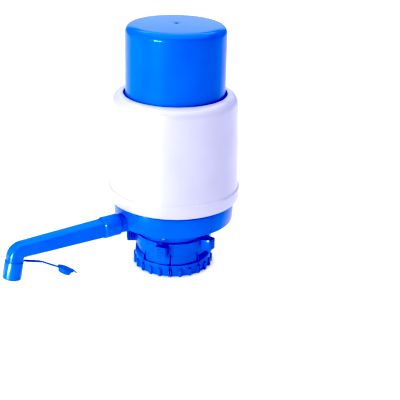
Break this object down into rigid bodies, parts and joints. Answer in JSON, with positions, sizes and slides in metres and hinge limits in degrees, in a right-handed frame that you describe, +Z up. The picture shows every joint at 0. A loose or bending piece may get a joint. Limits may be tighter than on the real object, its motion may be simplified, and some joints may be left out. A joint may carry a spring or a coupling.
{
  "type": "water jug hand pump",
  "caption": "Hand pump for a large water jug: a sprung press cap works a bellows in a round shell and a side spout with a strapped plug pours the water.",
  "frame": {"origin": "on the pump's axis in the plane of the neck collar's bottom edge", "axes": "+Z up along the pump's axis, spout along -Y, +X to the left of someone facing the spout"},
  "size_m": [0.104, 0.2003, 0.1958],
  "materials": {
    "blue_plastic": "glossy moulded",
    "blue_soft_plastic": "soft satin moulded",
    "white_plastic": "glossy moulded",
    "bellows_plastic": "soft milky moulded",
    "silicone": "satin silicone",
    "screw_steel": "zinc plated",
    "spring_steel": "drawn stainless"
  },
  "bodies": {
    "pump": {"outer_shell": "white_plastic", "pump_base": "blue_plastic", "bellows_clamp_ring": "white_plastic", "clamp_screws": "screw_steel", "bellows": "bellows_plastic", "return_spring": "spring_steel", "delivery_valve": "silicone", "neck_gasket": "silicone", "neck_collar": "blue_plastic", "collar_screws": "screw_steel", "outlet_o_ring": "silicone"},
    "cap": {"press_cap": "blue_plastic", "bellows_top_plate": "white_plastic", "plate_screws": "screw_steel", "intake_valve": "silicone"},
    "ring": {"lock_ring": "blue_plastic"},
    "spout": {"spout": "blue_plastic", "nozzle_sleeve": "blue_soft_plastic"},
    "strap_inner": {"strap_inner": "blue_soft_plastic"},
    "strap_outer": {"strap_outer": "blue_soft_plastic"},
    "plug": {"nozzle_plug": "blue_soft_plastic"}
  },
  "joints": [
    {"name": "cap_press", "type": "slide", "parent": "pump", "child": "cap", "axis": [0, 0, -1], "range_m": [0, 0.045], "stiffness_N_per_m": 250, "springref_m": -0.03, "deforming": ["bellows", "return_spring"]},
    {"name": "lock_turn", "type": "hinge", "parent": "pump", "child": "ring", "pos_m": [0, 0, 0.02365], "axis": [0, 0, -1], "range_deg": [0, 60]},
    {"name": "spout_swivel", "type": "hinge", "parent": "pump", "child": "spout", "pos_m": [0, -0.0585, 0.0449], "axis": [0, -1, 0], "continuous": true},
    {"name": "strap_root", "type": "hinge", "parent": "spout", "child": "strap_inner", "pos_m": [0, -0.13108, 0.03502], "axis": [-1, 0, 0], "range_deg": [0, 20.54], "stiffness_Nm_per_rad": 0.03},
    {"name": "strap_fold", "type": "hinge", "parent": "strap_inner", "child": "strap_outer", "pos_m": [0, -0.1174, 0.03051], "axis": [-1, 0, 0], "range_deg": [0, 111.24]},
    {"name": "plug_crease", "type": "hinge", "parent": "strap_outer", "child": "plug", "pos_m": [0, -0.10431, 0.02241], "axis": [-1, 0, 0], "range_deg": [0, 33.12]}
  ],
  "couplings": [
    {"joint": "strap_fold", "follows": "strap_root", "ratio": 5.4014},
    {"joint": "plug_crease", "follows": "strap_root", "ratio": 1.6027}
  ]
}
